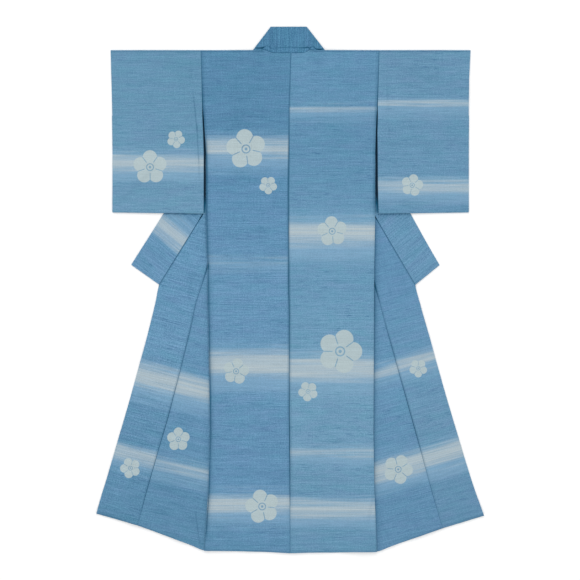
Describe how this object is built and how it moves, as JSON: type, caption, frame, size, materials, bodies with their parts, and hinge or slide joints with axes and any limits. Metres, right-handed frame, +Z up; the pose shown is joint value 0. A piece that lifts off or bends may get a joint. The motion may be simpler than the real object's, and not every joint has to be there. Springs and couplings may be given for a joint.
{
  "type": "kimono",
  "caption": "Long silk kimono laid flat with its back up, square sleeves out and both fronts opened below the sleeves.",
  "frame": {"origin": "centre of the outline's bounding box, on the surface that the garment lies on", "axes": "+Z up out of the surface, +Y along the centre-back seam towards the neck, +X towards the garment's right as seen from above"},
  "size_m": [1.3672, 1.858, 0.0053],
  "materials": {
    "silk": "matt slubbed plain-weave silk, mid blue with pale mist bands and blossoms",
    "collar_silk": "matt slubbed plain-weave silk, a deeper blue"
  },
  "bodies": {
    "root": {"body_left": "silk", "body_right": "silk", "okumi_left": "silk", "okumi_right": "silk", "sleeve_left": "silk", "sleeve_right": "silk", "collar": "collar_silk", "over_collar": "collar_silk"}
  },
  "joints": []
}
